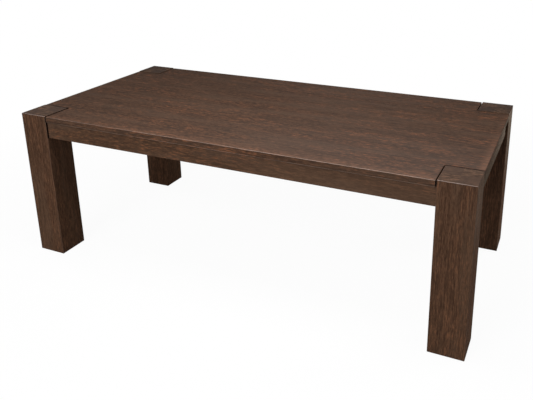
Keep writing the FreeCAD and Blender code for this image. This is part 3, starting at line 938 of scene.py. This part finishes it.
ringShape = {
    "sides": 36,
    "threadStart": 0.06,               # as shares of the sleeve's height
    "threadLength": 0.88,
}


def drawRing(tree, size):  # a washer or a sleeve above z = 0
    wall = size["outer radius"] - size["inner radius"]
    middle = (size["outer radius"] + size["inner radius"]) * 0.5
    values = {"Resolution": ringShape["sides"], "Radius": middle}
    circle = tree.add("GeometryNodeCurvePrimitiveCircle", {}, values)
    section = roundedStrip(tree, size, wall, size["height"])
    ring = tree.add("GeometryNodeCurveToMesh", {}, {"Curve": circle, "Profile Curve": section})
    return moved(tree, ring, size["height"] * 0.5)


def drawInsert(tree, size):
    outer, height, depth = size["outer radius"], size["height"], size["thread depth"]
    sleeve = drawRing(tree, {**size, "outer radius": outer - depth})
    start, wound = height * ringShape["threadStart"], height * ringShape["threadLength"]
    return joined(tree, [sleeve, thread(tree, outer, depth, size["thread pitch"], start, wound)])


clipShape = {
    "bendSteps": 5,
    "holeSides": 20,
}


def drawClip(tree, size):  # a strip bent twice: flange under z = 0, riser, and lip away from the screw
    line = tree.add("GeometryNodeCurvePrimitiveLine", {}, {"End": (1.0, 0.0, 0.0)})
    line = tree.add("GeometryNodeResampleCurve", {"mode": "COUNT"}, {"Curve": line, "Count": 4})
    index = tree.add("GeometryNodeInputIndex")  # of the four points, from the flange's end to the lip's
    half = size["metal"] * 0.5
    riser = size["riser"] + half
    x = size["flange end"] - index.maths("MINIMUM", 1.0) * (size["flange end"] + riser)
    x = x - (index - 2.0).maths("MAXIMUM", 0.0) * (size["lip end"] - riser)
    z = -((index - 1.0).maths("MAXIMUM", 0.0).maths("MINIMUM", 1.0) * size["drop"]) - half
    place = tree.add("ShaderNodeCombineXYZ", {}, {"X": x, "Z": z})
    line = tree.add("GeometryNodeSetPosition", {}, {"Geometry": line, "Position": place})
    values = {"Curve": line, "Count": clipShape["bendSteps"], "Radius": size["bend radius"]}
    line = tree.add("GeometryNodeFilletCurve", {"mode": "POLY"}, values)
    section = roundedStrip(tree, size, size["width"], size["metal"])
    values = {"Curve": line, "Profile Curve": section, "Fill Caps": True}
    strip = tree.add("GeometryNodeCurveToMesh", {}, values)
    start, length = size["metal"] * -2, size["metal"] * 3
    hole = turned(tree, size["hole radius"], start, length, clipShape["holeSides"], 1)
    return cut(tree, strip, hole)


hardwarePieces = {
    "clipScrews": {
        "node": "top_clip_screws", "slot": "zinc_steel", "finish": "zincSteel",
        "axis": "Z", "draw": drawScrew,
        "seats": seatsOf("top_clip_screws", max, 0.0024),
        "sizes": {"head radius": 0.0040, "head height": 0.0024, "shank radius": 0.0020, "length": 0.019,
                  "thread depth": 0.0005, "thread pitch": 0.0018},
    },
    "glideScrews": {
        "node": "glide_screws", "slot": "zinc_steel", "finish": "zincSteel",
        "axis": "Z", "draw": drawScrew,
        "seats": seatsOf("glide_screws", max, 0.0025),
        "sizes": {"head radius": 0.0045, "head height": 0.0025, "shank radius": 0.00225, "length": 0.030,
                  "thread depth": 0.0006, "thread pitch": 0.0020},
    },
    "legBolts": {
        "node": "leg_bolts", "slot": "black_steel", "finish": "blackSteel",
        "axis": "Z", "draw": drawBolt,
        "seats": seatsOf("leg_bolts", max, 0.008),
        "sizes": {"head radius": 0.0065, "head height": 0.008, "shank radius": 0.004, "length": 0.0746,
                  "socket width": 0.006, "socket depth": 0.004, "thread length": 0.032,
                  "thread depth": 0.0006, "thread pitch": 0.00125},
    },
    "boltWashers": {
        "node": "leg_bolt_washers", "slot": "zinc_steel", "finish": "zincSteel",
        "axis": "Z", "draw": drawRing,
        "seats": seatsOf("leg_bolt_washers", min),
        "sizes": {"outer radius": 0.009, "inner radius": 0.00415, "height": 0.0016, "edge radius": 0.0003},
    },
    "legInserts": {
        "node": "leg_inserts", "slot": "insert_brass", "finish": "brass",
        "axis": "Z", "draw": drawInsert,
        "seats": seatsOf("leg_inserts", max),
        "sizes": {"outer radius": 0.006, "inner radius": 0.00415, "height": 0.020, "edge radius": 0.0003,
                  "thread depth": 0.0007, "thread pitch": 0.003},
    },
    "topClips": {
        "node": "top_clips", "slot": "zinc_steel", "finish": "zincSteel",
        "axis": "X", "draw": drawClip,
        "seats": clipSeats(),
        "sizes": {"metal": 0.002, "width": 0.020, "flange end": 0.010, "riser": 0.011, "lip end": 0.022,
                  "drop": 0.012, "bend radius": 0.002, "edge radius": 0.0003, "hole radius": 0.00225},
    },
}

for piece in hardwarePieces:
    makeHardware(piece)
